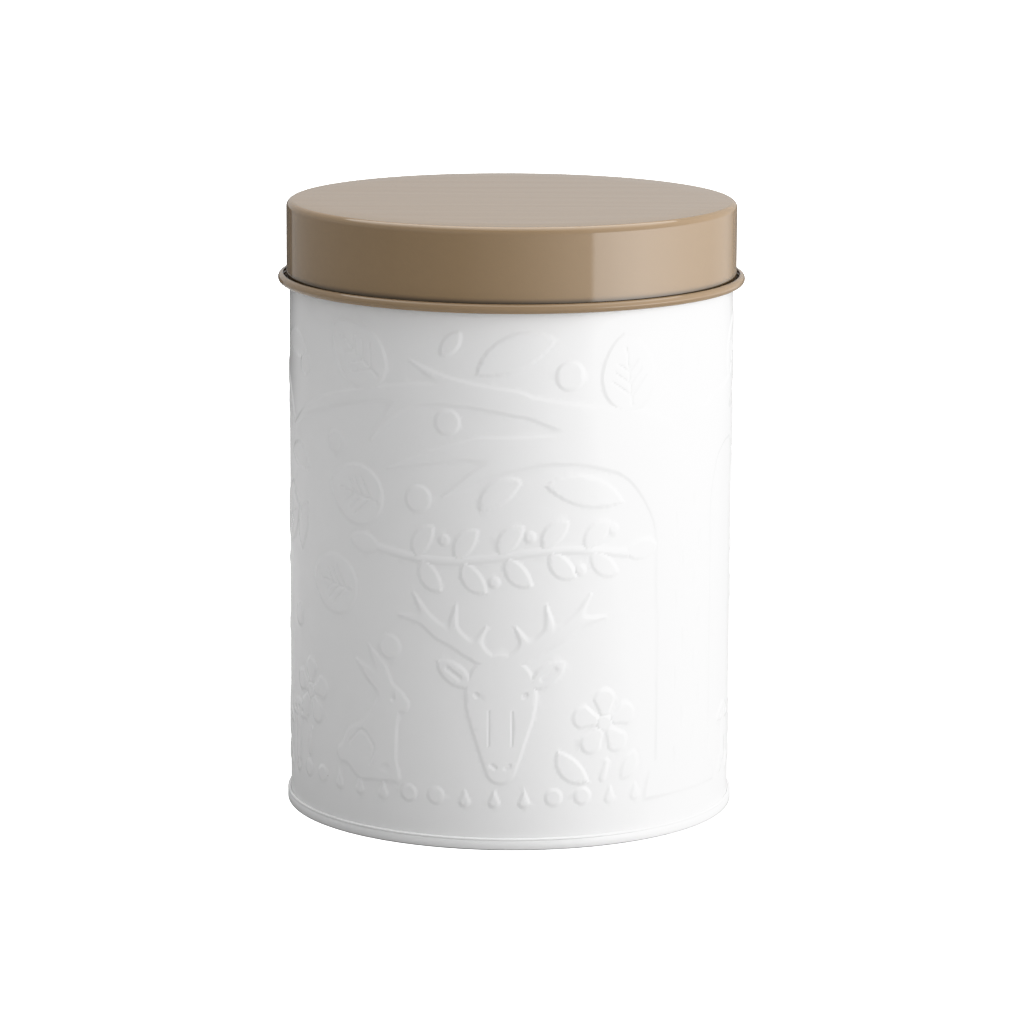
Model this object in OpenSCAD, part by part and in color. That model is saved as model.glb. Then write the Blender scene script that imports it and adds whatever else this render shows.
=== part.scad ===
// Round push-lid storage tin: a drawn lid slips over a rolled body with a curled mouth,
// and the base is double-seamed on. Every metal piece is folded from one thickness of tinplate.
// Millimetres. +Z is up; the tin stands on z = 0 with its axis on Z, and its side seam is at +Y.

/* [Overall] */
// Height from the floor to the top of the lid
tin_h = 144; // [120:1:200]
// Outside diameter of the body wall
body_d = 104.6; // [80:0.2:140]
// Thickness of the tinplate sheet
sheet_t = 0.25; // [0.22:0.01:0.28]

/* [Lid] */
// Clearance between the body wall and the inside of the lid's skirt
skirt_gap = 0.45; // [0.3:0.05:0.8]
// Height of the lid, from under its curl to its top panel
lid_h = 19.4; // [16:0.2:26]
// Outside radius of the lid's shoulder
shoulder_r = 1.6; // [1.2:0.1:2]
// Width across the lid's outward curl
lid_curl_d = 2.25; // [1.8:0.05:2.8]
// How far the lid's curl turns up past its widest point, in degrees
lid_curl_wrap = 90; // [20:5:110]

/* [Plug and seal] */
// Radial room between the mouth and the wall of the lid's inner pan
plug_room = 2.85; // [2.6:0.05:3.4]
// Depth of the inner pan below the lid's top panel
plug_depth = 10; // [8:0.5:14]
// Thickness of the seal's flange, which rests on the mouth
seal_flange_t = 1; // [0.8:0.1:1.4]
// Number of sealing lips
seal_lips = 3; // [2:1:3]

/* [Mouth] */
// Width across the mouth's inward curl
rim_curl_d = 2; // [1.6:0.1:2.4]

/* [Base] */
// Height of the double seam
seam_h = 2.9; // [2.8:0.05:3.2]
// Height of the base panel's underside above the floor
base_rise = 3.2; // [3:0.1:5]
// Radius of the expansion bead pressed in the base panel
base_bead_r = 40; // [30:1:44]

/* [Side seam] */
// Width of the folded side seam inside the body
lock_w = 5; // [4:0.5:7]
// Width of the joint line that shows outside
lock_line_w = 0.3; // [0.2:0.05:0.5]

/* [Hidden] */
$fn = 96;

// The sheet's folds lie this far apart
fold_gap = 0.02;
// Clearance of a piece that turns or slides against another
run_gap = 0.05;
// A little extra length, so that a cutter passes right through
over = 1;

body_r = body_d / 2;
body_in_r = body_r - sheet_t;

// Lid shell
skirt_in_r = body_r + skirt_gap;
skirt_r = skirt_in_r + sheet_t;
lid_curl_c = [skirt_in_r + lid_curl_d / 2, tin_h - lid_h + lid_curl_d / 2];

// Seal flange, pan flange and top panel are stacked on the mouth
pan_flange_z = tin_h - 2 * sheet_t;
seal_top_z = pan_flange_z - run_gap;
seal_flange_z = seal_top_z - seal_flange_t;
rim_top_z = seal_flange_z - run_gap;

// Mouth
rim_c = [body_r - rim_curl_d / 2, rim_top_z - rim_curl_d / 2];
rim_curl_wrap = 290;
mouth_r = body_r - rim_curl_d;

// Inner pan
pan_r = mouth_r - plug_room;
pan_bend_r = 0.5;
pan_flange_r = skirt_r - shoulder_r - 0.2;
pan_hem_r = 1;
pan_floor_z = tin_h - plug_depth;

// Seal
seal_in_r = pan_r + run_gap;
seal_sleeve_t = 1.1;
seal_flange_r = skirt_in_r - 0.85;
seal_low_z = pan_floor_z + 2 * pan_hem_r + run_gap;
lip_r = mouth_r - 0.1;
lip_t = 0.6;
lip_top_z = rim_c[1] + 0.3;
lip_step = (lip_top_z - seal_low_z - lip_t) / (seal_lips - 1);

// Double seam, from the chuck wall outwards. Each layer is one sheet and one gap further out
layer = sheet_t + fold_gap;
chuck_r = body_in_r - fold_gap;
cover_hook_r = body_r + layer;
body_hook_r = cover_hook_r + layer - fold_gap / 2;
seam_r = body_hook_r + layer;
seam_corner_r = 0.45;
body_bend_r = (body_hook_r - body_in_r) / 2;
body_bend_c = [body_in_r + body_bend_r, sheet_t + fold_gap + body_bend_r];
cover_bend_r = (seam_r - body_r - fold_gap) / 2;
cover_bend_c = [seam_r - cover_bend_r, seam_h - cover_bend_r];
hook_clear = 0.6;
body_hook_top = seam_h - hook_clear - 0.1;
cover_hook_low = sheet_t + hook_clear;

// Base panel
base_corner_r = 0.8;
base_bead_w = 2.4;

// Side seam
lock_layers = 3;
lock_low = base_rise + 2 * sheet_t + 0.3;
lock_top = rim_c[1] - rim_curl_d;
deg_per_mm = 180 / (PI * body_r);

// A straight stretch of sheet in a profile, from radius r0 to r1 and height z0 to z1
module strip(r0, r1, z0, z1) {
    translate([r0, z0]) square([r1 - r0, z1 - z0]);
}

// The part of the plane round the origin from angle a0 to a1
module sector(reach, a0, a1) {
    steps = 12;
    polygon([[0, 0], for (i = [0 : steps]) reach * [cos(a0 + (a1 - a0) * i / steps), sin(a0 + (a1 - a0) * i / steps)]]);
}

// A bend in the sheet round the point c, with outside radius r, from angle a0 to a1
module bend(c, r, a0, a1) {
    translate(c) intersection() {
        difference() {
            circle(r);
            circle(r - sheet_t);
        }
        sector(2 * r, a0, a1);
    }
}

// Body wall with the mouth's inward curl above and the U-shaped body hook below
module body_profile() {
    strip(body_in_r, body_r, body_bend_c[1], rim_c[1]);
    bend(rim_c, rim_curl_d / 2, 0, rim_curl_wrap);
    bend(body_bend_c, body_bend_r, 180, 360);
    strip(body_hook_r - sheet_t, body_hook_r, body_bend_c[1], body_hook_top);
}

// Folded layers of the side seam, lying inside the wall
module lock_band() {
    band_deg = lock_w * deg_per_mm;
    rotate([0, 0, 90 - band_deg / 2]) rotate_extrude(angle = band_deg)
        strip(body_in_r - lock_layers * sheet_t, body_in_r + sheet_t / 2, lock_low, lock_top);
}

// Joint line of the side seam, cut through the outside layer only
module lock_line() {
    translate([-lock_line_w / 2, body_in_r, lock_low + over]) cube([lock_line_w, 2, lock_top - lock_low - 2 * over]);
}

module body_shell() {
    color("white") difference() {
        union() {
            rotate_extrude() body_profile();
            lock_band();
        }
        lock_line();
    }
}

// Base panel with its expansion bead, chuck wall, seaming panel, outside wall and cover hook
module base_profile() {
    bead_c = [base_bead_r, base_rise];
    strip(0, base_bead_r - base_bead_w / 2 + sheet_t, base_rise, base_rise + sheet_t);
    bend(bead_c, base_bead_w / 2, 0, 180);
    strip(base_bead_r + base_bead_w / 2 - sheet_t, chuck_r - base_corner_r, base_rise, base_rise + sheet_t);
    bend([chuck_r - base_corner_r, base_rise + sheet_t - base_corner_r], base_corner_r, 0, 90);
    strip(chuck_r - sheet_t, chuck_r, seam_corner_r, base_rise + sheet_t - base_corner_r);
    bend([chuck_r - sheet_t + seam_corner_r, seam_corner_r], seam_corner_r, 180, 270);
    strip(chuck_r - sheet_t + seam_corner_r, seam_r - seam_corner_r, 0, sheet_t);
    bend([seam_r - seam_corner_r, seam_corner_r], seam_corner_r, 270, 360);
    strip(seam_r - sheet_t, seam_r, seam_corner_r, cover_bend_c[1]);
    bend(cover_bend_c, cover_bend_r, 0, 180);
    strip(cover_hook_r - sheet_t, cover_hook_r, cover_hook_low, cover_bend_c[1]);
}

module base_end() {
    color("gainsboro") rotate_extrude() base_profile();
}

// Two rings of sealing compound, squeezed in past the ends of the two hooks
module seam_compound() {
    color("dimgray") rotate_extrude() {
        strip(cover_hook_r - sheet_t, cover_hook_r - fold_gap, body_bend_c[1], cover_hook_low);
        strip(body_hook_r - sheet_t, body_hook_r - fold_gap, body_hook_top, cover_bend_c[1]);
    }
}

// Flat top panel, round shoulder, straight skirt and outward curl
module lid_profile() {
    strip(0, skirt_r - shoulder_r, tin_h - sheet_t, tin_h);
    bend([skirt_r - shoulder_r, tin_h - shoulder_r], shoulder_r, 0, 90);
    strip(skirt_in_r, skirt_r, lid_curl_c[1], tin_h - shoulder_r);
    bend(lid_curl_c, lid_curl_d / 2, 180, 360 + lid_curl_wrap);
}

module lid_shell() {
    color("tan") rotate_extrude() lid_profile();
}

// Plug pressed from sheet: flange under the top panel, wall, hem that keeps the seal on, and floor
module pan_profile() {
    wall_top_c = [pan_r + pan_bend_r, pan_flange_z - pan_bend_r];
    strip(wall_top_c[0], pan_flange_r, pan_flange_z, pan_flange_z + sheet_t);
    bend(wall_top_c, pan_bend_r + sheet_t, 90, 180);
    strip(pan_r - sheet_t, pan_r, pan_floor_z + 2 * pan_hem_r - sheet_t, wall_top_c[1]);
    bend([pan_r - sheet_t, pan_floor_z + pan_hem_r], pan_hem_r, -90, 90);
    strip(0, pan_r - sheet_t, pan_floor_z, pan_floor_z + sheet_t);
}

module lid_inner_pan() {
    color("silver") rotate_extrude() pan_profile();
}

// Sleeve round the pan, flange over the mouth, and lips that taper towards the mouth's curl
module seal_profile() {
    sleeve_r = seal_in_r + seal_sleeve_t;
    difference() {
        union() {
            strip(seal_in_r, sleeve_r, seal_low_z, seal_top_z);
            strip(seal_in_r, seal_flange_r, seal_flange_z, seal_top_z);
            for (i = [0 : seal_lips - 1])
                translate([sleeve_r, seal_low_z + i * lip_step])
                    polygon([[-0.2, 0], [lip_r - sleeve_r, lip_t / 3], [lip_r - sleeve_r, lip_t * 2 / 3], [-0.2, lip_t]]);
        }
        // Room for the bend under the pan's flange
        translate([pan_r, pan_flange_z]) rotate(45) square(2.4 * pan_bend_r, center = true);
    }
}

module lid_seal() {
    color("lightgray") rotate_extrude() seal_profile();
}

body_shell();
base_end();
seam_compound();
lid_shell();
lid_inner_pan();
lid_seal();
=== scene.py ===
"""A round storage tin of enamelled tinplate with a slip-over lid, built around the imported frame.

The sections follow the tin as it is put together: the rolled wall, the base and its seam, then the lid,
its inner pan and its seal, and last the studio. Sizes are in millimetres and become metres as a mesh is made.
"""

import math

import bmesh
import bpy
import numpy as np
from mathutils import Matrix, Vector


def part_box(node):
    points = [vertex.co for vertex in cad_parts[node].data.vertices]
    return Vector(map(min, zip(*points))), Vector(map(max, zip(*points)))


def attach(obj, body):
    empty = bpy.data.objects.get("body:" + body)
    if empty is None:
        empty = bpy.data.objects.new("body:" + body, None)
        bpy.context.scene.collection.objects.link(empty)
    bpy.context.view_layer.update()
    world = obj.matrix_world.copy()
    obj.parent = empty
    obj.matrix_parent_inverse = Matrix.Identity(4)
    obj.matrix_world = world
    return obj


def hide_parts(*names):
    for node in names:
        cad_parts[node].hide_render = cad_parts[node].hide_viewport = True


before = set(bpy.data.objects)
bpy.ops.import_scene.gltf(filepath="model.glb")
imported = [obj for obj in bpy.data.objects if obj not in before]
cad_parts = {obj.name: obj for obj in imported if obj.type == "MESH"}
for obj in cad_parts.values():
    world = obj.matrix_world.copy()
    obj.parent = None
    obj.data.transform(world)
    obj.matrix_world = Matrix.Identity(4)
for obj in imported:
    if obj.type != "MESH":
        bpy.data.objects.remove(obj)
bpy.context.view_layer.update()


# ---------------------------------------------------------------------------------------------
# Body wall. A blank of 0.25 mm tinplate is embossed flat between rollers, rolled into a tube and
# locked along a folded side seam at the back. Its mouth is curled inwards so that no raw edge shows,
# its foot is folded outwards for the base to grip, and the whole wall is stoved in white enamel.

mm = 0.001
round_steps = 200
sheet_t = 0.25
fold_gap = 0.02
layer = sheet_t + fold_gap

seam_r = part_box("base_end")[1].x / mm
body_hook_r = seam_r - layer
body_r = body_hook_r - 2 * layer + fold_gap / 2
body_in_r = body_r - sheet_t
rim_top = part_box("body_shell")[1].z / mm
hook_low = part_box("body_shell")[0].z / mm
rim_curl_r = 1.0
rim_curl_wrap = 290
body_hook_top = 2.2

wall_low = 3.6
wall_top = rim_top - rim_curl_r - 1
lock_h = wall_top - wall_low - 8
girth = 2 * math.pi * body_r

relief_h = 0.21
relief_slope = 1.15
groove_depth = 0.17
groove_slope = 0.8
blend = 4
far = 9.0
picture_low = 9.6

joint_w = 0.9
joint_depth = 0.2
joint_slope = 0.8
lock_w = 5
lock_t = 3 * sheet_t
lock_slope = 0.5


def arc(centre, radius, start, end, steps=8):
    """Points along an arc in the plane of a profile, from one angle to another in degrees."""
    angles = [math.radians(start + (end - start) * i / steps) for i in range(steps + 1)]
    return [(centre[0] + radius * math.cos(a), centre[1] + radius * math.sin(a)) for a in angles]


def folded_sheet(path, thickness):
    """Closed outline of a sheet folded along the path of its middle, with its cut edges a little rounded."""
    points = [Vector(p) for p in path]
    runs = [(b - a).normalized() for a, b in zip(points, points[1:])]
    runs = [runs[0]] + runs + [runs[-1]]
    left, right = [], []
    for point, before, after in zip(points, runs, runs[1:]):
        along = (before + after).normalized()
        across = Vector((-along.y, along.x)) * (thickness / 2 / along.dot(after))
        left.append(point + across)
        right.append(point - across)
    ends = []
    for point, outwards in ((points[-1], runs[-1]), (points[0], -runs[0])):
        if point.x == 0:
            ends.append([])
            continue
        angle = math.degrees(math.atan2(outwards.y, outwards.x))
        ends.append([Vector(p) for p in arc(point, thickness / 2, angle + 90, angle - 90, 4)][1:-1])
    return left + ends[0] + right[::-1] + ends[1]


def spin_outline(bm, outline, closed):
    """Spins an outline of (radius, height) points once round the tin's axis, starting at the side seam."""
    verts = [bm.verts.new((0, r * mm, z * mm)) for r, z in outline]
    edges = [bm.edges.new(pair) for pair in zip(verts, verts[1:])]
    if closed:
        edges.append(bm.edges.new((verts[-1], verts[0])))
    turn = 2 * math.pi
    bmesh.ops.spin(
        bm, geom=verts + edges, cent=(0, 0, 0), axis=(0, 0, 1), angle=turn, steps=round_steps, use_merge=True
    )


def finish_piece(name, bm, material, body, slot, *nodes):
    """Closes a mesh, points its faces outwards, and makes it the piece that stands for these CAD nodes."""
    bmesh.ops.remove_doubles(bm, verts=bm.verts, dist=0.002 * mm)
    bmesh.ops.recalc_face_normals(bm, faces=bm.faces)
    for face in bm.faces:
        face.smooth = True
    mesh = bpy.data.meshes.new(name)
    bm.to_mesh(mesh)
    bm.free()
    mesh.materials.append(material)
    piece = bpy.data.objects.new(name, mesh)
    bpy.context.scene.collection.objects.link(piece)
    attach(piece, body)
    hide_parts(*nodes)
    return piece


def stroke(*knots, steps=6):
    """A tapering stroke through knots of (place round the wall, height, half width)."""
    knots = [Vector(k) for k in knots]
    knots = [2 * knots[0] - knots[1]] + knots + [2 * knots[-1] - knots[-2]]
    spine = []
    for a, b, c, d in zip(knots, knots[1:], knots[2:], knots[3:]):
        for i in range(steps):
            t = i / steps
            bend = (2 * a - 5 * b + 4 * c - d) * t * t + (3 * b - a - 3 * c + d) * t**3
            spine.append(0.5 * (2 * b + (c - a) * t + bend))
    spine.append(knots[-2])
    return [(p.x, p.y, max(p.z, 0)) for p in spine]


def turned(angle, origin, *knots):
    """Knots turned by an angle in degrees about the origin of their motif, and moved to where it stands."""
    c, s = math.cos(math.radians(angle)), math.sin(math.radians(angle))
    return [(origin[0] + c * x - s * y, origin[1] + s * x + c * y, w) for x, y, w in knots]


raised, pressed = [], []


def leaf(place, angle, length, width, bend=0.1):
    """An almond-shaped leaf that starts at its place and points along the angle."""
    steps = 10
    knots = []
    for i in range(steps + 1):
        t = i / steps
        knots.append((length * t, 4 * bend * length * t * (1 - t), width / 2 * math.sin(math.pi * t) ** 0.9))
    raised.append([turned(angle, place, *knots)])


def veined_leaf(place, angle, length, width, veins=3):
    """A broad leaf, round at its stalk and pointed at its tip, with a midrib and side veins pressed in."""
    knots = [
        (width * 0.42, 0, width * 0.42),
        (length * 0.45, 0, width * 0.5),
        (length * 0.7, 0, width * 0.33),
        (length * 0.88, 0, width * 0.13),
        (length, 0, 0),
    ]
    raised.append([stroke(*turned(angle, place, *knots), steps=3)])
    pressed.append(turned(angle, place, (width * 0.12, 0, 0.3), (length * 0.8, 0, 0.12)))
    for i in range(veins):
        start = length * (0.2 + 0.45 * i / veins)
        reach = width * (0.4 - 0.08 * i)
        for side in (1, -1):
            tip = (start + reach * 0.7, side * reach * 0.8, 0.12)
            pressed.append(turned(angle, place, (start, 0, 0.28), tip))


def berry(place, radius):
    """A round berry, pressed as a flat disc."""
    raised.append([[(*place, radius), (place[0] + 0.01, place[1], radius)]])


def flower(place, petals, reach):
    """A flower of round petals about a pressed eye, on a short stem."""
    for i in range(petals):
        petal = ((reach * 0.38, 0, reach * 0.17), (reach * 0.68, 0, reach * 0.32))
        raised.append([turned(90 + 360 * i / petals, place, *petal)])
    raised.append([[(*place, reach * 0.24), (place[0], place[1] - 0.01, reach * 0.24)]])
    raised.append([stroke((place[0] + 0.6, place[1] - reach * 1.15, 0.5), (place[0] - 0.4, 16, 0.7))])


def tree(foot, left_reach, right_reach):
    """A tree whose branches arch away from both sides of its trunk and taper to points."""
    trunk = ((9, 14), (14, 11), (24, 10.2), (60, 10), (84, 9), (96, 6))
    limbs = [stroke(*[(foot, z, w) for z, w in trunk])]
    for side, reach in ((-1, left_reach), (1, right_reach)):
        for knots in (
            ((0.01, 58, 9), (0.04, 75, 6.6), (0.11, 87.5, 5.6), (0.2, 92.4, 4), (0.29, 93.4, 3)),
            ((0.2, 92.4, 4), (0.29, 93.4, 3), (0.43, 89.2, 1.8), (0.53, 82.2, 0.1)),
            ((0.03, 84, 5), (0.14, 93.5, 3.8), (0.3, 93.6, 2.4), (0.46, 93.3, 2.2)),
            ((0.3, 93.6, 2.4), (0.46, 93.3, 2.2), (0.56, 90.8, 1.4), (0.65, 87.4, 0.1)),
            ((0.02, 88, 6), (0.12, 96, 4.6), (0.26, 99.6, 3.6), (0.39, 103.8, 2.2), (0.5, 105.6, 1.9)),
            ((0.39, 103.8, 2.2), (0.5, 105.6, 1.9), (0.59, 104.6, 2), (0.64, 100.6, 1.4), (0.69, 93.6, 0.1)),
            ((0.5, 105.6, 1.8), (0.62, 105.6, 1.7), (0.78, 102, 1.5), (0.89, 97.8, 1), (0.97, 93, 0.1)),
            ((0.38, 104.2, 1.6), (0.47, 106.4, 1.5), (0.54, 109.4, 1), (0.6, 113, 0.1)),
            ((0, 90, 5), (0.01, 104, 3), (-0.02, 113, 1.6), (0.01, 121, 0.1)),
        ):
            limbs.append(stroke(*[(foot + side * t * reach, z, w) for t, z, w in knots]))
    raised.append(limbs)
    for row in range(7):
        for side in (-1, 1):
            s = foot + side * 3.4 + (row % 2) * 2.4 - 1.2
            z = 18 + row * 9.2 + side * 1.9
            pressed.append([(s, z, 0.12), (s + 0.3, z + 2.2, 0.34), (s + 0.2, z + 4.6, 0.12)])


def sprig(centre, half_length):
    """A level sprig with pairs of leaves along a gently waving stem, and berries between them."""
    s0, z0 = centre
    size = half_length / 30
    places = (-1, -0.66, -0.33, 0, 0.33, 0.66, 1)
    stem = [(s0 + half_length * t, z0 + 1.4 * size * math.sin(3.4 * t), 0.75 * size) for t in places]
    raised.append([stroke(*stem)])
    for i, (s, z, _) in enumerate(stem[1:-1]):
        leaf((s, z), 62 - 4 * i, 8.6 * size, 4.4 * size, 0.12)
        leaf((s + 1.5 * size, z), -58 + 4 * i, 8.6 * size, 4.4 * size, -0.12)
        side = (-1) ** i
        berry((s + (7.4 - 0.9 * side) * size, z + 4.6 * side * size), 1.2 * size)
    leaf(stem[-1][:2], 8, 8.5 * size, 4.6 * size, 0)
    leaf(stem[0][:2], 172, 8.5 * size, 4.6 * size, 0)


def stag(centre):
    """A stag's head seen from the front: long skull, level ears and branching antlers."""
    s0, z0 = centre
    raised.append([stroke((s0, z0 + 12.5, 5.6), (s0, z0 + 8, 8.2), (s0, z0 - 2, 5.6), (s0, z0 - 9, 3.4))])
    for side in (-1, 1):
        ear_foot = (s0 + side * 7.4, z0 + 10.6)
        ear = turned(90 - side * 54, ear_foot, (0, 0, 0.8), (3.2, 0, 2.3), (6.4, 0, 1.9), (9, 0, 0.1))
        raised.append([stroke(*ear, steps=3)])
        pressed.append(turned(90 - side * 54, ear_foot, (2.6, 0, 0.5), (6.2, 0, 0.5)))
        antler = []
        for knots in (
            ((3, 16.5, 1.7), (8.5, 19.5, 1.5), (15.5, 23.5, 1.3), (20.8, 31.4, 0.2)),
            ((8, 19.4, 1.3), (11, 23.6, 1.1), (10.4, 29, 0.2)),
            ((14.5, 23, 1.2), (18.5, 25, 1), (24.5, 25.8, 0.2)),
            ((5, 17.8, 1.2), (5.2, 20.8, 0.9), (3.4, 24.2, 0.2)),
        ):
            antler.append(stroke(*[(s0 + side * x, z0 + y, w) for x, y, w in knots]))
        raised.append(antler)
        eye = (s0 + side * 5.4, z0 + 8.2)
        pressed.append([(*eye, 0.55), (eye[0] + side * 0.3, eye[1] + 0.2, 0.5)])
        nose_line = ((2.7, 4.6, 0.1), (2.7, 1, 0.25), (2.7, -3.4, 0.1))
        pressed.append(stroke(*[(s0 + side * x, z0 + y, w) for x, y, w in nose_line]))
        pressed.append(turned(side * 35, (s0 + side * 1.6, z0 - 8.4), (-0.5, 0, 0.4), (0.5, 0, 0.4)))


def hare(foot, facing):
    """A hare sitting upright in profile, with its ears laid back."""
    parts = (
        ((-3, 6.5, 6), (1, 9.5, 5.4), (3.4, 14.5, 3.6)),
        ((3.6, 16, 3), (5.6, 19.5, 3.1), (8.2, 18.8, 1.9)),
        ((4.8, 21.5, 1.3), (2.6, 26.5, 1.6), (-0.8, 31.5, 0.2)),
        ((3.6, 21, 1.2), (-0.4, 24.6, 1.4), (-4.6, 27.6, 0.2)),
        ((4, 11, 1.7), (5.4, 5.5, 1.4), (6.6, 1.4, 1.2)),
        ((-3, 2.2, 2.2), (1.6, 1.4, 1.4), (4, 1.3, 1.1)),
        ((-9.5, 4.6, 1.9), (-8.4, 4.9, 1.7)),
    )
    raised.append([stroke(*[(foot[0] + facing * x, foot[1] + y, w) for x, y, w in part]) for part in parts])
    eye = (foot[0] + facing * 6, foot[1] + 19.8)
    pressed.append([(*eye, 0.5), (eye[0] + 0.01, eye[1], 0.5)])
    haunch = ((-7, 8, 0.2), (-3, 11.2, 0.35), (0.6, 7.6, 0.3), (-0.6, 3.6, 0.2))
    pressed.append(stroke(*[(foot[0] + facing * x, foot[1] + y, w) for x, y, w in haunch]))


def bird(perch, facing):
    """A small plump bird in profile, with a pressed wing line."""
    parts = (
        ((-5.6, 2.2, 0.5), (-1, 3.6, 2.7), (2.4, 4.8, 2.9), (3.6, 8.2, 2.1)),
        ((5.2, 8.4, 0.8), (7.4, 8, 0.1)),
        ((-3, 2.6, 1.3), (-9.4, 0.6, 0.6)),
    )
    raised.append([stroke(*[(perch[0] + facing * x, perch[1] + y, w) for x, y, w in part]) for part in parts])
    wing = ((2.6, 5.6, 0.2), (0.4, 3.2, 0.3), (-3.6, 2.8, 0.2))
    pressed.append(stroke(*[(perch[0] + facing * x, perch[1] + y, w) for x, y, w in wing]))


def toadstool(foot, height):
    """A toadstool with a domed cap and a ring of pressed spots."""
    raised.append([stroke((foot[0], foot[1], 1.5), (foot[0], foot[1] + height * 0.7, 1.1))])
    reach = height * 0.4
    dome = ((-reach, 0, 0.6), (0, 1.2, height * 0.17), (reach, 0, 0.6))
    raised.append([stroke(*turned(0, (foot[0], foot[1] + height * 0.78), *dome))])
    for x in (-0.5, 0, 0.5):
        spot = (foot[0] + x * reach, foot[1] + height * (0.88 - 0.1 * abs(x)))
        pressed.append([(*spot, 0.4), (spot[0] + 0.01, spot[1], 0.4)])


# The picture, in millimetres round the wall from the middle of the front and up from the floor
tree(47, 118, 74)
tree(-116, 43, 50)
sprig((-2, 68.6), 30)
stag((-2, 28))
flower((22.5, 29), 5, 8)
leaf((18.5, 15.5), 134, 10.5, 4.8, 0.1)
leaf((27, 15.5), 62, 7, 3.8, -0.1)
hare((-34, 14), 1)
flower((-57, 31), 5, 8)
toadstool((-65, 14), 13)
toadstool((-74, 14), 9)
leaf((-7.8, 110.4), 24, 19.8, 8, 0.06)
leaf((-6.9, 79.2), 37, 11.6, 5.4, 0.08)
leaf((7.9, 85), -14, 19.5, 7, 0.04)
leaf((-16, 114.5), 52, 7, 3.6, 0)
veined_leaf((29.2, 101), 97, 18.5, 14)
veined_leaf((-31, 107.6), 143, 20, 14)
veined_leaf((-31, 79), 168, 17, 14)
veined_leaf((-39, 57.5), 172, 16, 14)
for s, z, size in ((13.6, 110, 3.3), (-14.6, 99.3, 2.9), (-21.6, 81.2, 3.1), (-46, 92, 2.6), (-29, 46, 2.8)):
    berry((s, z), size)
bird((84, 14), -1)
bird((109, 14), 1)
toadstool((68, 14), 12)
flower((97, 36), 5, 8.6)
flower((124, 28.5), 5, 8.6)
flower((-148, 28.5), 5, 8.6)
hare((-88, 14), -1)
sprig((100, 62), 19)
veined_leaf((70, 104), 52, 18, 13)
veined_leaf((92, 106), 100, 15, 12)
veined_leaf((136, 96), 82, 20, 14)
veined_leaf((134, 66), 60, 18, 13)
veined_leaf((144, 44), 74, 18, 12)
leaf((110, 112), 12, 16, 6.4, 0.1)
leaf((76, 78), 20, 14, 6, 0.1)
leaf((118, 80), 40, 12, 5.4, 0.1)
leaf((-146, 74), 118, 15, 6, 0.1)
leaf((-136, 60), 96, 14, 6, -0.1)
leaf((-150, 48), 84, 14, 6, 0.1)
veined_leaf((-134, 106), 128, 16, 12)
veined_leaf((-96, 106), 62, 16, 12)
veined_leaf((-80, 68), 20, 17, 13)
leaf((-92, 52), 30, 13, 5.6, 0.1)
leaf((-74, 112), -8, 15, 6, 0.1)
leaf((-70, 86), -10, 13, 5.6, 0.1)
leaf((-62, 64), 74, 12, 5.4, 0.1)
for place in ((63, 92), (84, 96), (104, 98), (124, 104), (146, 88), (128, 54), (80, 52)):
    berry(place, 2.8)
for place in ((-60, 108), (-86, 90), (-70, 76), (-64, 48), (-84, 42), (114, 46), (150, 66)):
    berry(place, 2.6)
for place in ((-152, 92), (-142, 90), (-146, 114), (-140, 48)):
    berry(place, 2.4)

ground_row = 48
ground_z = 12.2
for i in range(ground_row):
    s = girth * ((i + 0.5) / ground_row - 0.5)
    if i % 5 < 2:
        berry((s, ground_z), 1.9)
    else:
        raised.append([[(s, ground_z - 1, 1.2), (s, ground_z + 1.4, 0.2)]])


def to_stroke(s, z, spine):
    """Signed distance from points on the flat wall to one tapering stroke, negative inside it."""
    best = np.full(s.shape, far)
    for (s0, z0, w0), (s1, z1, w1) in zip(spine, spine[1:]):
        ds, dz = s1 - s0, z1 - z0
        t = np.clip(((s - s0) * ds + (z - z0) * dz) / (ds * ds + dz * dz), 0, 1)
        best = np.minimum(best, np.hypot(s - s0 - t * ds, z - z0 - t * dz) - w0 - t * (w1 - w0))
    return best


def around(s, z, spine):
    """Which of the points, sorted along the wall, are close enough to a stroke to feel it."""
    reach = max(w for _, _, w in spine) + 3
    low_z, high_z = min(p[1] for p in spine) - reach, max(p[1] for p in spine) + reach
    start = np.searchsorted(s, min(p[0] for p in spine) - reach)
    stop = np.searchsorted(s, max(p[0] for p in spine) + reach)
    return start + np.nonzero((z[start:stop] > low_z) & (z[start:stop] < high_z))[0]


def slope(distance, width):
    """A soft step, 1 well inside a shape and 0 well outside it."""
    t = np.clip(0.5 - distance / width, 0, 1)
    return t * t * (3 - 2 * t)


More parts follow.
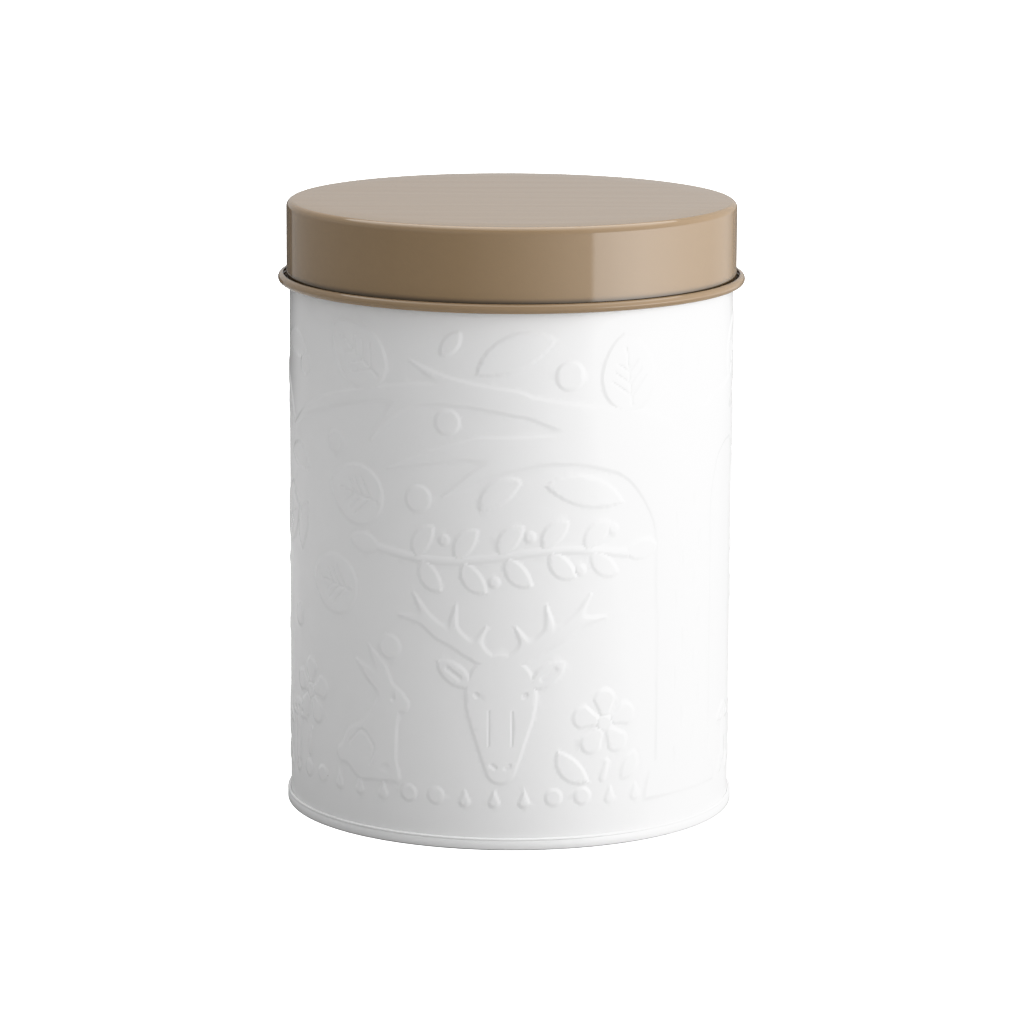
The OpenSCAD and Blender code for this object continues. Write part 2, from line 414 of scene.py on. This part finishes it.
def relief(s, z, soften=1):
    """Height of the embossing over the plain wall, and the distance to the nearest outline."""
    order = np.argsort(s)
    s, z = s[order], z[order]
    height = np.zeros(s.shape)
    nearest = np.full(s.shape, far)
    for strokes in raised:
        branching = len(strokes) > 1
        distance = np.full(s.shape, far)
        for spine in strokes:
            near = around(s, z, spine)
            other = to_stroke(s[near], z[near], spine)
            if branching:
                mix = np.clip(0.5 + (other - distance[near]) / blend, 0, 1)
                other = other * (1 - mix) + distance[near] * mix - blend / 2 * mix * (1 - mix)
                distance[near] = other
                other = np.maximum(other, picture_low - z[near])
            else:
                height[near] = np.maximum(height[near], relief_h * slope(other, relief_slope * soften))
            nearest[near] = np.minimum(nearest[near], abs(other))
        if branching:
            distance = np.maximum(distance, picture_low - z)
            height = np.maximum(height, relief_h * slope(distance, relief_slope * soften))
    groove = np.zeros(s.shape)
    for spine in pressed if soften == 1 else []:
        near = around(s, z, spine)
        distance = to_stroke(s[near], z[near], spine)
        groove[near] = np.maximum(groove[near], groove_depth * slope(distance, groove_slope))
        nearest[near] = np.minimum(nearest[near], abs(distance))
    height -= groove
    back = np.argsort(order)
    return height[back], nearest[back]


def outer_face(s, z):
    """Height of the wall's outer face, with the side seam's joint line, and the distance to an outline."""
    height, nearest = relief(s, z)
    edge = np.maximum(girth / 2 - abs(s) - joint_w / 2, abs(z - (wall_low + wall_top) / 2) - lock_h / 2)
    return height - joint_depth * slope(edge, joint_slope), np.minimum(nearest, abs(edge))


def inner_face(s, z):
    """Height of the wall's inner face, where the folded layers of the side seam stand inwards."""
    edge = np.maximum(girth / 2 - abs(s) - lock_w / 2, abs(z - (wall_low + wall_top) / 2) - lock_h / 2)
    return relief(s, z, 2.6)[0] - lock_t * slope(edge, lock_slope), abs(edge)


def roll_wall(bm, radius, rows, refinements, face_of):
    """Embosses a flat blank, with a finer grid along the outlines, and rolls it into one face of the wall."""
    blank = bmesh.new()
    bmesh.ops.create_grid(blank, x_segments=round_steps, y_segments=rows, size=0.5)
    size = Matrix.Diagonal((girth, wall_top - wall_low, 1, 1))
    place = Matrix.Translation((0, (wall_low + wall_top) / 2, 0)) @ size
    bmesh.ops.transform(blank, matrix=place, verts=blank.verts)
    band = 1.1
    for _ in range(refinements):
        faces = list(blank.faces)
        middle = np.array([f.calc_center_median()[:2] for f in faces])
        near = np.nonzero(face_of(middle[:, 0], middle[:, 1])[1] < band)[0]
        edges = list({e for i in near for e in faces[i].edges})
        bmesh.ops.subdivide_edges(blank, edges=edges, cuts=1, use_grid_fill=True)
        band = band * 0.55
    flat = np.array([v.co[:2] for v in blank.verts])
    height = face_of(flat[:, 0], flat[:, 1])[0]
    for v, (s, z), h in zip(blank.verts, flat, height):
        angle = s / body_r
        r = radius + h
        v.co = (r * math.sin(angle) * mm, -r * math.cos(angle) * mm, z * mm)
    rolled = bpy.data.meshes.new("rolled_blank")
    blank.to_mesh(rolled)
    blank.free()
    bm.from_mesh(rolled)
    bpy.data.meshes.remove(rolled)


rim_c = (body_r - rim_curl_r, rim_top - rim_curl_r)
rim = [(body_r, wall_top)] + arc(rim_c, rim_curl_r, 0, rim_curl_wrap, 20)
rim += arc(rim_c, rim_curl_r - sheet_t, rim_curl_wrap, 0, 14) + [(body_in_r, wall_top)]
hook_bend_r = (body_hook_r - body_in_r) / 2
hook_bend = (body_in_r + hook_bend_r, hook_low + hook_bend_r)
hook = [(body_r, wall_low)] + arc(hook_bend, hook_bend_r - sheet_t, 180, 360, 8)
hook += [(body_hook_r - sheet_t, body_hook_top), (body_hook_r, body_hook_top)]
hook += arc(hook_bend, hook_bend_r, 360, 180, 10) + [(body_in_r, wall_low)]

bm = bmesh.new()
spin_outline(bm, rim, False)
spin_outline(bm, hook, False)
roll_wall(bm, body_r, 80, 2, outer_face)
roll_wall(bm, body_in_r, 28, 1, inner_face)


def linear(hex_colour):
    """An sRGB hex colour as the linear colour that a shader takes."""
    channels = [int(hex_colour[i : i + 2], 16) / 255 for i in (1, 3, 5)]
    return (*[c / 12.92 if c <= 0.04045 else ((c + 0.055) / 1.055) ** 2.4 for c in channels], 1)


def add_node(material, kind, inputs, **settings):
    """Adds a node to a material. An input is a value, or another node's output to link."""
    node = material.node_tree.nodes.new(kind)
    for name, value in settings.items():
        setattr(node, name, value)
    for name, value in inputs.items():
        if isinstance(value, bpy.types.NodeSocket):
            material.node_tree.links.new(value, node.inputs[name])
        else:
            node.inputs[name].default_value = value
    return node


def new_material(name):
    """An empty material with nodes."""
    material = bpy.data.materials.new(name)
    material.use_nodes = True
    material.node_tree.nodes.clear()
    return material


# Stoved white enamel. It flows out to a gloss, with a faint orange peel and a few dark specks of stoving dust
peel_scale = 1 / (1.6 * mm)
speck_scale = 1 / (14 * mm)
speck_r = 0.16
white_enamel = new_material("white_stoving_enamel")
place = add_node(white_enamel, "ShaderNodeTexCoord", {}).outputs["Object"]
peel = add_node(white_enamel, "ShaderNodeTexNoise", {"Vector": place, "Scale": peel_scale, "Detail": 2})
bump = add_node(
    white_enamel, "ShaderNodeBump", {"Height": peel.outputs["Fac"], "Strength": 0.2, "Distance": 0.02 * mm}
)
cells = add_node(white_enamel, "ShaderNodeTexVoronoi", {"Vector": place, "Scale": speck_scale})
speck = add_node(
    white_enamel,
    "ShaderNodeMapRange",
    {"Value": cells.outputs["Distance"], "From Min": 0.004, "From Max": speck_r * mm * speck_scale},
)
tint = add_node(white_enamel, "ShaderNodeMix", {"Factor": speck.outputs["Result"]}, data_type="RGBA")
tint.inputs["A"].default_value = linear("#9a948a")
tint.inputs["B"].default_value = linear("#f0f0f0")
surface = add_node(
    white_enamel,
    "ShaderNodeBsdfPrincipled",
    {"Base Color": tint.outputs["Result"], "Roughness": 0.2, "IOR": 1.5, "Normal": bump.outputs["Normal"]},
)
add_node(white_enamel, "ShaderNodeOutputMaterial", {"Surface": surface.outputs["BSDF"]})

wall = finish_piece("body_wall", bm, white_enamel, "tin", "white_enamel", "body_shell")

# The embossed face takes its shading from the relief itself, so that the outlines run evenly over the grid
spots = np.array([v.co[:] for v in wall.data.vertices]) / mm
normals = np.array([n.vector[:] for n in wall.data.vertex_normals])
faces_out = (spots[:, :2] * normals[:, :2]).sum(axis=1) > 0
embossed = faces_out & (spots[:, 2] > wall_low) & (spots[:, 2] < wall_top)
s = np.arctan2(spots[embossed, 0], -spots[embossed, 1]) * body_r
z = spots[embossed, 2]
step = 0.05
along = (outer_face(s + step, z)[0] - outer_face(s - step, z)[0]) / (2 * step)
rising = (outer_face(s, z + step)[0] - outer_face(s, z - step)[0]) / (2 * step)
sine, cosine = np.sin(s / body_r), np.cos(s / body_r)
outwards = np.stack((sine - along * cosine, -cosine - along * sine, -rising), axis=1)
normals[embossed] = outwards / np.linalg.norm(outwards, axis=1)[:, None]
wall.data.normals_split_custom_set_from_vertices(normals.tolist())


# ---------------------------------------------------------------------------------------------
# Base. One pressing of the same tinplate: a panel with an expansion bead, raised inside a chuck wall,
# with its edge rolled over the body's hook into a double seam that the tin stands on.

base_rise = 3.2
chuck_r = body_in_r - fold_gap
chuck_top_r = 0.8
foot_r = 0.45
seam_h = 2.9
roller_mark = 0.08
base_bead_r = 40
bead_curve_r = 1.4
bead_curve_drop = 0.6
bead_foot_angle = 25.4
half_t = sheet_t / 2

cover_top_r = (seam_r - body_r - fold_gap) / 2
cover_top_c = (seam_r - cover_top_r, seam_h - cover_top_r)
base_path = [(0, base_rise + half_t), (20, base_rise + half_t)]
base_path += [(base_bead_r - 2, base_rise + half_t)]
bead_c = (base_bead_r, base_rise - bead_curve_drop + half_t)
base_path += arc(bead_c, bead_curve_r, 180 - bead_foot_angle, bead_foot_angle, 12)
base_path += [(base_bead_r + 2, base_rise + half_t)]
chuck_top = (chuck_r - chuck_top_r, base_rise + sheet_t - chuck_top_r)
base_path += arc(chuck_top, chuck_top_r - half_t, 90, 0, 6)
base_path += arc((chuck_r - sheet_t + foot_r, foot_r), foot_r - half_t, 180, 270, 6)
base_path += arc((seam_r - foot_r, foot_r), foot_r - half_t, 270, 360, 6)
mark_r = seam_r - half_t - roller_mark
base_path += [(seam_r - half_t, 2.12), (mark_r, 2.26), (mark_r, 2.4)]
base_path += arc(cover_top_c, cover_top_r - half_t, 0, 180, 10)
base_path += [(body_r + layer - half_t, 0.85)]
bm = bmesh.new()
spin_outline(bm, folded_sheet(base_path, sheet_t), False)
finish_piece("base", bm, white_enamel, "tin", "white_enamel", "base_end")


# ---------------------------------------------------------------------------------------------
# Seam compound. Grey rubber compound is flowed into the base's edge before it is rolled, and fills the
# ends of the two hooks, so that the seam holds fine powder. It is hidden between the folds.

seam_compound = new_material("seam_compound_rubber")
surface = add_node(
    seam_compound, "ShaderNodeBsdfPrincipled", {"Base Color": linear("#9a9a96"), "Roughness": 0.8}
)
add_node(seam_compound, "ShaderNodeOutputMaterial", {"Surface": surface.outputs["BSDF"]})
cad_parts["seam_compound"].data.materials.clear()
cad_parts["seam_compound"].data.materials.append(seam_compound)


# ---------------------------------------------------------------------------------------------
# Lid. Drawn from one disc of tinplate: a flat top with a tight shoulder and a straight skirt, whose
# lower edge is rolled outwards into an open curl. It is stoved in a glossy taupe enamel.

tin_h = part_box("lid_shell")[1].z / mm
lid_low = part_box("lid_shell")[0].z / mm
lid_curl_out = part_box("lid_shell")[1].x / mm
shoulder_r = 1.6
skirt_in_r = body_r + 0.45
skirt_r = skirt_in_r + sheet_t
lid_curl_r = (lid_curl_out - skirt_in_r) / 2
lid_curl_c = (skirt_in_r + lid_curl_r, lid_low + lid_curl_r)
lid_curl_wrap = 90

lid_path = [(r, tin_h - half_t) for r in (0, 16, 32, 44)]
lid_path += arc((skirt_r - shoulder_r, tin_h - shoulder_r), shoulder_r - half_t, 90, 0, 12)
lid_path += arc(lid_curl_c, lid_curl_r - half_t, 180, 360 + lid_curl_wrap, 28)
bm = bmesh.new()
spin_outline(bm, folded_sheet(lid_path, sheet_t), False)

# Stoved taupe enamel, glossier than the white. The press leaves slow ripples along the rolling direction of
# the sheet, dust that settled before stoving leaves small raised nibs, and a painted shade darkens the skirt
# in the crease above the curl
ripple_scale = 1 / (7 * mm)
ripple_stretch = (0.08, 1, 0.3)
nib_scale = 1 / (9 * mm)
nib_r = 0.14
crease_z = lid_low + 2 * lid_curl_r - 0.3
crease_shade_h = 1.6
taupe_enamel = new_material("taupe_stoving_enamel")
place = add_node(taupe_enamel, "ShaderNodeTexCoord", {}).outputs["Object"]
height = add_node(taupe_enamel, "ShaderNodeSeparateXYZ", {"Vector": place}).outputs["Z"]
flattened = add_node(taupe_enamel, "ShaderNodeMapping", {"Vector": place, "Scale": (1, 1, 0)})
radius = add_node(taupe_enamel, "ShaderNodeVectorMath", {0: flattened.outputs[0]}, operation="LENGTH")
above_curl = add_node(
    taupe_enamel,
    "ShaderNodeMapRange",
    {"Value": height, "From Min": (crease_z + crease_shade_h) * mm, "From Max": crease_z * mm},
    interpolation_type="SMOOTHSTEP",
)
on_skirt = add_node(
    taupe_enamel,
    "ShaderNodeMapRange",
    {"Value": radius.outputs["Value"], "From Min": (skirt_r + 0.3) * mm, "From Max": (skirt_r + 0.1) * mm},
)
shade_masks = {0: above_curl.outputs["Result"], 1: on_skirt.outputs["Result"]}
crease_shade = add_node(taupe_enamel, "ShaderNodeMath", shade_masks, operation="MULTIPLY")
# Painted shade: the skirt's colour turns from the taupe to a deep brown over the band just above the curl
tint = add_node(taupe_enamel, "ShaderNodeMix", {"Factor": crease_shade.outputs[0]}, data_type="RGBA")
tint.inputs["A"].default_value = linear("#927959")
tint.inputs["B"].default_value = linear("#3b2f1f")
rolled = add_node(taupe_enamel, "ShaderNodeMapping", {"Vector": place, "Scale": ripple_stretch})
ripple = add_node(
    taupe_enamel, "ShaderNodeTexNoise", {"Vector": rolled.outputs[0], "Scale": ripple_scale, "Detail": 1}
)
pressed_sheet = add_node(
    taupe_enamel, "ShaderNodeBump", {"Height": ripple.outputs["Fac"], "Strength": 1, "Distance": 0.045 * mm}
)
cells = add_node(taupe_enamel, "ShaderNodeTexVoronoi", {"Vector": place, "Scale": nib_scale})
nib = add_node(
    taupe_enamel,
    "ShaderNodeMapRange",
    {"Value": cells.outputs["Distance"], "From Min": nib_r * mm * nib_scale, "From Max": 0},
)
nibs = add_node(
    taupe_enamel,
    "ShaderNodeBump",
    {"Height": nib.outputs[0], "Strength": 1, "Distance": 0.05 * mm, "Normal": pressed_sheet.outputs[0]},
)
peel = add_node(taupe_enamel, "ShaderNodeTexNoise", {"Vector": place, "Scale": peel_scale, "Detail": 2})
bump = add_node(
    taupe_enamel,
    "ShaderNodeBump",
    {"Height": peel.outputs["Fac"], "Strength": 0.2, "Distance": 0.02 * mm, "Normal": nibs.outputs[0]},
)
surface = add_node(
    taupe_enamel,
    "ShaderNodeBsdfPrincipled",
    {"Base Color": tint.outputs["Result"], "Roughness": 0.05, "IOR": 1.65, "Normal": bump.outputs["Normal"]},
)
add_node(taupe_enamel, "ShaderNodeOutputMaterial", {"Surface": surface.outputs["BSDF"]})

# The edge of the curl was trimmed after stoving, so it shows the bare steel
raw_edge = new_material("trimmed_tinplate_edge")
surface = add_node(
    raw_edge, "ShaderNodeBsdfPrincipled", {"Base Color": linear("#dcdad6"), "Metallic": 1, "Roughness": 0.35}
)
add_node(raw_edge, "ShaderNodeOutputMaterial", {"Surface": surface.outputs["BSDF"]})

lid = finish_piece("lid", bm, taupe_enamel, "lid", "taupe_enamel", "lid_shell")
lid.data.materials.append(raw_edge)
cut = Vector(lid_path[-1])
for face in lid.data.polygons:
    spot = Vector((math.hypot(*face.center[:2]), face.center.z)) / mm
    if (spot - cut).length < half_t * 1.02:
        face.material_index = 1


# ---------------------------------------------------------------------------------------------
# Inner pan. A shallow pan of bright, unpainted tinplate spot-welded under the lid. Its hem keeps the
# seal from slipping off, and its floor closes the tin.

pan_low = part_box("lid_inner_pan")[0].z / mm
pan_flange_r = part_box("lid_inner_pan")[1].x / mm
mouth_r = body_r - 2 * rim_curl_r
pan_r = mouth_r - 2.85
pan_hem_r = 1
pan_bend_r = 0.5
pan_flange_z = tin_h - 2 * sheet_t

pan_path = [(r, pan_low + half_t) for r in (0, 20, 40)]
pan_path += arc((pan_r - sheet_t, pan_low + pan_hem_r), pan_hem_r - half_t, -90, 70, 12)
pan_path += arc((pan_r + pan_bend_r, pan_flange_z - pan_bend_r), pan_bend_r + half_t, 180, 90, 6)
pan_path += [(pan_flange_r - half_t, pan_flange_z + half_t)]
bm = bmesh.new()
spin_outline(bm, folded_sheet(pan_path, sheet_t), False)

# Bright tinplate keeps the rolling lines of its steel and a faint crystal pattern in the tin
line_scale = 1 / (0.5 * mm)
crystal_scale = 1 / (5 * mm)
bare_tinplate = new_material("bright_tinplate")
place = add_node(bare_tinplate, "ShaderNodeTexCoord", {}).outputs["Object"]
rolled = add_node(bare_tinplate, "ShaderNodeMapping", {"Vector": place, "Scale": (0.02, 1, 1)})
lines = add_node(
    bare_tinplate, "ShaderNodeTexNoise", {"Vector": rolled.outputs[0], "Scale": line_scale, "Detail": 3}
)
crystals = add_node(bare_tinplate, "ShaderNodeTexVoronoi", {"Vector": place, "Scale": crystal_scale})
gloss = add_node(
    bare_tinplate,
    "ShaderNodeMapRange",
    {"Value": crystals.outputs["Color"], "To Min": 0.2, "To Max": 0.3},
)
bump = add_node(
    bare_tinplate, "ShaderNodeBump", {"Height": lines.outputs["Fac"], "Strength": 0.5, "Distance": 0.01 * mm}
)
surface = add_node(
    bare_tinplate,
    "ShaderNodeBsdfPrincipled",
    {"Roughness": gloss.outputs["Result"], "Normal": bump.outputs["Normal"], "Metallic": 1},
)
surface.inputs["Base Color"].default_value = linear("#d6d6d3")
add_node(bare_tinplate, "ShaderNodeOutputMaterial", {"Surface": surface.outputs["BSDF"]})
finish_piece("inner_pan", bm, bare_tinplate, "lid", "bare_tinplate", "lid_inner_pan")


# ---------------------------------------------------------------------------------------------
# Seal. A moulded ring of translucent silicone stretched over the pan. Its flange sits on the curled
# mouth and its lips bend against the mouth as the lid goes on.

seal_low, seal_top = (corner.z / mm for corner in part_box("lid_seal"))
seal_flange_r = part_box("lid_seal")[1].x / mm
seal_in_r = pan_r + 0.05
sleeve_r = seal_in_r + 1.1
seal_lips = 3
lip_r = mouth_r - 0.1
lip_t = 0.6
lip_step = (rim_top - rim_curl_r + 0.3 - seal_low - lip_t) / (seal_lips - 1)

seal_outline = [(seal_in_r, seal_top - 0.9), (seal_in_r, seal_low), (sleeve_r - 0.1, seal_low)]
for i in range(seal_lips):
    z = seal_low + i * lip_step
    seal_outline += [(sleeve_r, z + 0.05)] if i else []
    seal_outline += [(lip_r, z + lip_t * 0.25), (lip_r, z + lip_t * 0.75), (sleeve_r, z + lip_t)]
seal_outline += [(sleeve_r, seal_top - 1), (seal_flange_r - 0.1, seal_top - 1)]
seal_outline += [(seal_flange_r, seal_top - 0.9), (seal_flange_r, seal_top - 0.1)]
seal_outline += [(seal_flange_r - 0.1, seal_top), (seal_in_r + 0.9, seal_top)]
bm = bmesh.new()
spin_outline(bm, seal_outline, True)

# Moulded silicone is cloudy and satin, and lets a little light into its thin lips
silicone = new_material("moulded_silicone")
place = add_node(silicone, "ShaderNodeTexCoord", {}).outputs["Object"]
haze = add_node(silicone, "ShaderNodeTexNoise", {"Vector": place, "Scale": 1 / (3 * mm), "Detail": 3})
satin = add_node(silicone, "ShaderNodeMapRange", {"Value": haze.outputs[0], "To Min": 0.38, "To Max": 0.55})
surface = add_node(
    silicone,
    "ShaderNodeBsdfPrincipled",
    {"Roughness": satin.outputs["Result"], "IOR": 1.41, "Subsurface Weight": 0.4},
)
surface.inputs["Base Color"].default_value = linear("#e6e8e7")
surface.inputs["Subsurface Radius"].default_value = (1, 1, 1)
surface.inputs["Subsurface Scale"].default_value = 1 * mm
add_node(silicone, "ShaderNodeOutputMaterial", {"Surface": surface.outputs["BSDF"]})
finish_piece("silicone_seal", bm, silicone, "seal", "silicone", "lid_seal")


# ---------------------------------------------------------------------------------------------
# Studio. The tin stands on a plain pale floor, with one tall soft light close on its right and a dim
# room round the rest of it, which the gloss of the enamel shows.

camera_elevation = math.radians(10.82)
camera_distance = 1139 * mm
aim = Vector((0.39, 0, 69.1)) * mm
camera_data = bpy.data.cameras.new("camera")
camera_data.sensor_width = 36
camera_data.lens = 168.4
camera_data.clip_end = 20
camera = bpy.data.objects.new("camera", camera_data)
camera.location = aim + camera_distance * Vector((0, -math.cos(camera_elevation), math.sin(camera_elevation)))
look = (aim - camera.location).to_track_quat("-Z", "Y").to_matrix()
camera.rotation_euler = (look @ Matrix.Rotation(math.radians(0.28), 3, "Z")).to_euler()
bpy.context.scene.collection.objects.link(camera)
bpy.context.scene.camera = camera

floor_size = 6
floor_levels = (0.45, 0.75)
contact_shadow_level = 0.02
fill_level = 0.8
white_level = 2
bm = bmesh.new()
bmesh.ops.create_grid(bm, x_segments=1, y_segments=1, size=floor_size / 2)
floor_mesh = bpy.data.meshes.new("floor")
bm.to_mesh(floor_mesh)
bm.free()
floor = bpy.data.objects.new("floor", floor_mesh)
bpy.context.scene.collection.objects.link(floor)

# The floor is plain white to look at. It throws less light back than it shows, most behind it on the left,
# and a painted contact shadow darkens it close to the tin. From below it is clear, and the part under the tin
# lights the base panel
pale_floor = new_material("pale_floor")
sight = add_node(pale_floor, "ShaderNodeLightPath", {})
place = add_node(pale_floor, "ShaderNodeTexCoord", {}).outputs["Object"]
backwards = {0: place, 1: (-0.6, 0.8, 0)}
backwards = add_node(pale_floor, "ShaderNodeVectorMath", backwards, operation="DOT_PRODUCT")
spread = add_node(
    pale_floor,
    "ShaderNodeMapRange",
    {"Value": backwards.outputs["Value"], "From Min": 0.1, "From Max": 0.35, "To Min": floor_levels[0]},
)
spread.inputs["To Max"].default_value = floor_levels[1]
from_tin = add_node(pale_floor, "ShaderNodeVectorMath", {0: place}, operation="LENGTH")
# Painted contact shadow: within 1.3 mm of the tin's foot the floor throws back almost no light
shadow = {"Value": from_tin.outputs["Value"], "From Min": seam_r * mm, "From Max": (seam_r + 1.3) * mm}
open_floor = add_node(pale_floor, "ShaderNodeMapRange", {**shadow, "To Min": contact_shadow_level})
shade = {0: spread.outputs["Result"], 1: open_floor.outputs["Result"]}
grey = add_node(pale_floor, "ShaderNodeMath", shade, operation="MULTIPLY")
dim = add_node(pale_floor, "ShaderNodeBsdfDiffuse", {"Color": grey.outputs[0]})
inside = {"Value": from_tin.outputs["Value"], "From Min": (chuck_r - 2) * mm, "From Max": (chuck_r - 8) * mm}
under_tin = add_node(pale_floor, "ShaderNodeMapRange", {**inside, "To Max": fill_level})
fill = add_node(pale_floor, "ShaderNodeEmission", {"Strength": under_tin.outputs["Result"]})
thrown = add_node(pale_floor, "ShaderNodeAddShader", {0: dim.outputs[0], 1: fill.outputs[0]})
white = add_node(pale_floor, "ShaderNodeBsdfDiffuse", {"Color": linear("#f4f4f4")})
glow = add_node(pale_floor, "ShaderNodeEmission", {"Strength": white_level})
bright = add_node(pale_floor, "ShaderNodeAddShader", {0: white.outputs[0], 1: glow.outputs[0]})
clear = add_node(pale_floor, "ShaderNodeBsdfTransparent", {})
side = add_node(pale_floor, "ShaderNodeNewGeometry", {}).outputs["Backfacing"]
seen = add_node(pale_floor, "ShaderNodeMixShader", {"Fac": side, 1: bright.outputs[0], 2: clear.outputs[0]})
parts = {"Fac": sight.outputs["Is Camera Ray"], 1: thrown.outputs[0], 2: seen.outputs[0]}
mix = add_node(pale_floor, "ShaderNodeMixShader", parts)
add_node(pale_floor, "ShaderNodeOutputMaterial", {"Surface": mix.outputs[0]})
floor_mesh.materials.append(pale_floor)


def lit_ring(name, levels, radius, low, high):
    """A round screen lit from behind. A level is an angle from the camera, to the right, and a radiance."""
    bm = bmesh.new()
    foot = [bm.verts.new((0, radius * mm, z * mm)) for z in (low, high)]
    edge = bm.edges.new(foot)
    whole = 2 * math.pi
    up = (0, 0, 1)
    bmesh.ops.spin(bm, geom=foot + [edge], cent=(0, 0, 0), axis=up, angle=whole, steps=96, use_merge=True)
    mesh = bpy.data.meshes.new(name)
    bm.to_mesh(mesh)
    bm.free()
    ring = bpy.data.objects.new(name, mesh)
    ring.visible_camera = False
    bpy.context.scene.collection.objects.link(ring)

    glow = new_material(name)
    place = add_node(glow, "ShaderNodeTexCoord", {}).outputs["Object"]
    parts = add_node(glow, "ShaderNodeSeparateXYZ", {"Vector": place})
    front = add_node(glow, "ShaderNodeMath", {0: parts.outputs["Y"], 1: -1}, operation="MULTIPLY")
    side = {0: parts.outputs["X"], 1: front.outputs[0]}
    angle = add_node(glow, "ShaderNodeMath", side, operation="ARCTAN2")
    share = add_node(
        glow, "ShaderNodeMath", {0: angle.outputs[0], 1: 0.5 / math.pi, 2: 0.5}, operation="MULTIPLY_ADD"
    )
    ramp = add_node(glow, "ShaderNodeValToRGB", {"Fac": share.outputs[0]})
    brightest = max(level for _, level in levels)
    stops = ramp.color_ramp.elements
    while len(stops) < len(levels):
        stops.new(1)
    for stop, (degrees, level) in zip(stops, levels):
        stop.position = degrees / 360 + 0.5
        stop.color = (level / brightest, level / brightest, level / brightest, 1)
    lit = add_node(glow, "ShaderNodeEmission", {"Color": ramp.outputs["Color"], "Strength": brightest})
    add_node(glow, "ShaderNodeOutputMaterial", {"Surface": lit.outputs[0]})
    mesh.materials.append(glow)
    return ring


# The main light is a wide soft panel on the tin's right, the rest of the ring is the dimmer room
ring_r = 600
screen_split = 150
low_levels = (
    (-180, 0.1), (-146.5, 0.1), (-144.5, 0.44), (-100, 0.38), (-60, 0.27), (-25, 0.29), (0, 0.54),
    (16, 0.82), (28, 1.08), (38.8, 1.25), (40.2, 3), (55, 3.6), (67, 3.7), (80, 3.2), (95, 2.4), (115, 1.5),
    (136, 1.05), (150, 0.32), (180, 0.1),
)
high_levels = (
    (-180, 0.56), (-172, 0.53), (-150, 0.53), (-141, 0.48), (-92, 0.56), (-57, 0.48), (-24, 0.52), (0, 0.6),
    (16, 0.8), (34, 0.9), (38.8, 1), (40.2, 2.6), (55, 3.1), (67, 3.1), (90, 2.3), (120, 1.2), (143, 0.85),
    (150, 0.6), (172, 0.59), (180, 0.56),
)
lit_ring("low_screen", low_levels, ring_r, 1, screen_split)
lit_ring("high_screen", high_levels, ring_r, screen_split, 690).visible_glossy = False

# High up, the gloss shows a dimmer screen than the one that lights the tin, so that the lid's top never
# glares from the side
gloss_levels = (
    (-180, 0.56), (-172, 0.53), (-150, 0.53), (-141, 0.48), (-92, 0.57), (-57, 0.48), (-24, 0.5), (0, 0.52),
    (16, 0.62), (34, 0.8), (60, 1.2), (90, 1.2), (120, 0.95), (143, 0.7), (150, 0.6), (172, 0.59),
    (180, 0.56),
)
lit_ring("gloss_screen", gloss_levels, ring_r + 5, screen_split, 694).visible_diffuse = False

world = bpy.data.worlds.new("room")
world.use_nodes = True
world.node_tree.nodes.clear()
bpy.context.scene.world = world
direction = add_node(world, "ShaderNodeTexCoord", {}).outputs["Generated"]
overhead = Vector((0.19, 0.71, 0.68)).normalized()
sky_level = 2.9
height = add_node(world, "ShaderNodeVectorMath", {0: direction, 1: overhead}, operation="DOT_PRODUCT")
sky = add_node(world, "ShaderNodeMath", {0: height.outputs["Value"], 1: 0}, operation="MAXIMUM")
room = add_node(world, "ShaderNodeBackground", {"Color": sky.outputs[0], "Strength": sky_level})
plain = add_node(world, "ShaderNodeBackground", {"Color": (1, 1, 1, 1), "Strength": white_level})
sight = add_node(world, "ShaderNodeLightPath", {})
mix = add_node(world, "ShaderNodeMixShader", {"Fac": sight.outputs["Is Camera Ray"]})
world.node_tree.links.new(room.outputs[0], mix.inputs[1])
world.node_tree.links.new(plain.outputs[0], mix.inputs[2])
add_node(world, "ShaderNodeOutputWorld", {"Surface": mix.outputs[0]})

scene = bpy.context.scene
scene.view_settings.view_transform = "Standard"
scene.cycles.use_denoising = True

# A soft shoulder keeps the embossing in view where the white enamel faces the main light
shoulder_top = 1.4
scene.view_settings.use_curve_mapping = True
curves = scene.view_settings.curve_mapping
curves.white_level = (shoulder_top, shoulder_top, shoulder_top)
brightness = curves.curves[3]
for bright, shown in ((0.84, 0.84), (1, 0.945), (1.2, 0.985)):
    brightness.points.new(bright / shoulder_top, shown)
for point in brightness.points:
    point.handle_type = "VECTOR"
curves.update()
